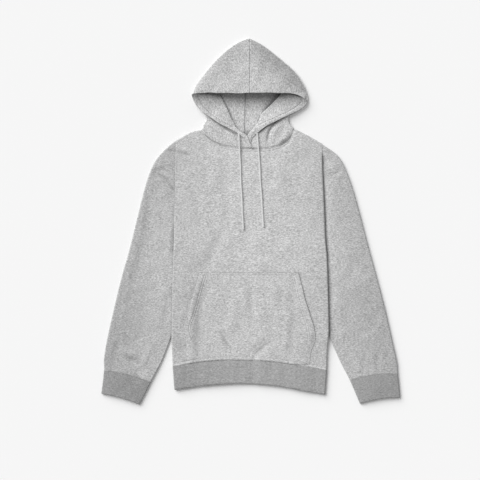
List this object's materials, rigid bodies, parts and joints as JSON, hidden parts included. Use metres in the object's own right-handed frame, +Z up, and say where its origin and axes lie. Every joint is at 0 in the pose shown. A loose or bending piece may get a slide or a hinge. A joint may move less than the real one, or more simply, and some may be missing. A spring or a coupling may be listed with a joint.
{
  "type": "pullover hoodie laid flat",
  "caption": "Pullover hoodie lying flat on its back, hood open towards the chest, with kangaroo pocket, ribbed hem and cuffs, and free drawcord ends.",
  "frame": {"origin": "on the surface that the garment lies on, under the middle of its outline", "axes": "+Y from the hem to the hood's peak, +X to the right of the picture (the wearer's left), +Z up from the surface, out of the garment's front"},
  "size_m": [0.8067, 0.9866, 0.0282],
  "materials": {
    "fleece": "heather grey brushed-back fleece, matt",
    "ribbing": "darker heather grey rib knit, matt",
    "cording": "light grey flat-knit cord, matt"
  },
  "bodies": {
    "root": {"body_front": "fleece", "body_back": "fleece", "pocket": "fleece", "hem_rib": "ribbing", "sleeve_left": "fleece", "sleeve_right": "fleece", "cuff_left": "ribbing", "cuff_right": "ribbing", "hood_left": "fleece", "hood_right": "fleece", "drawcord_left": "cording", "drawcord_right": "cording"}
  },
  "joints": []
}
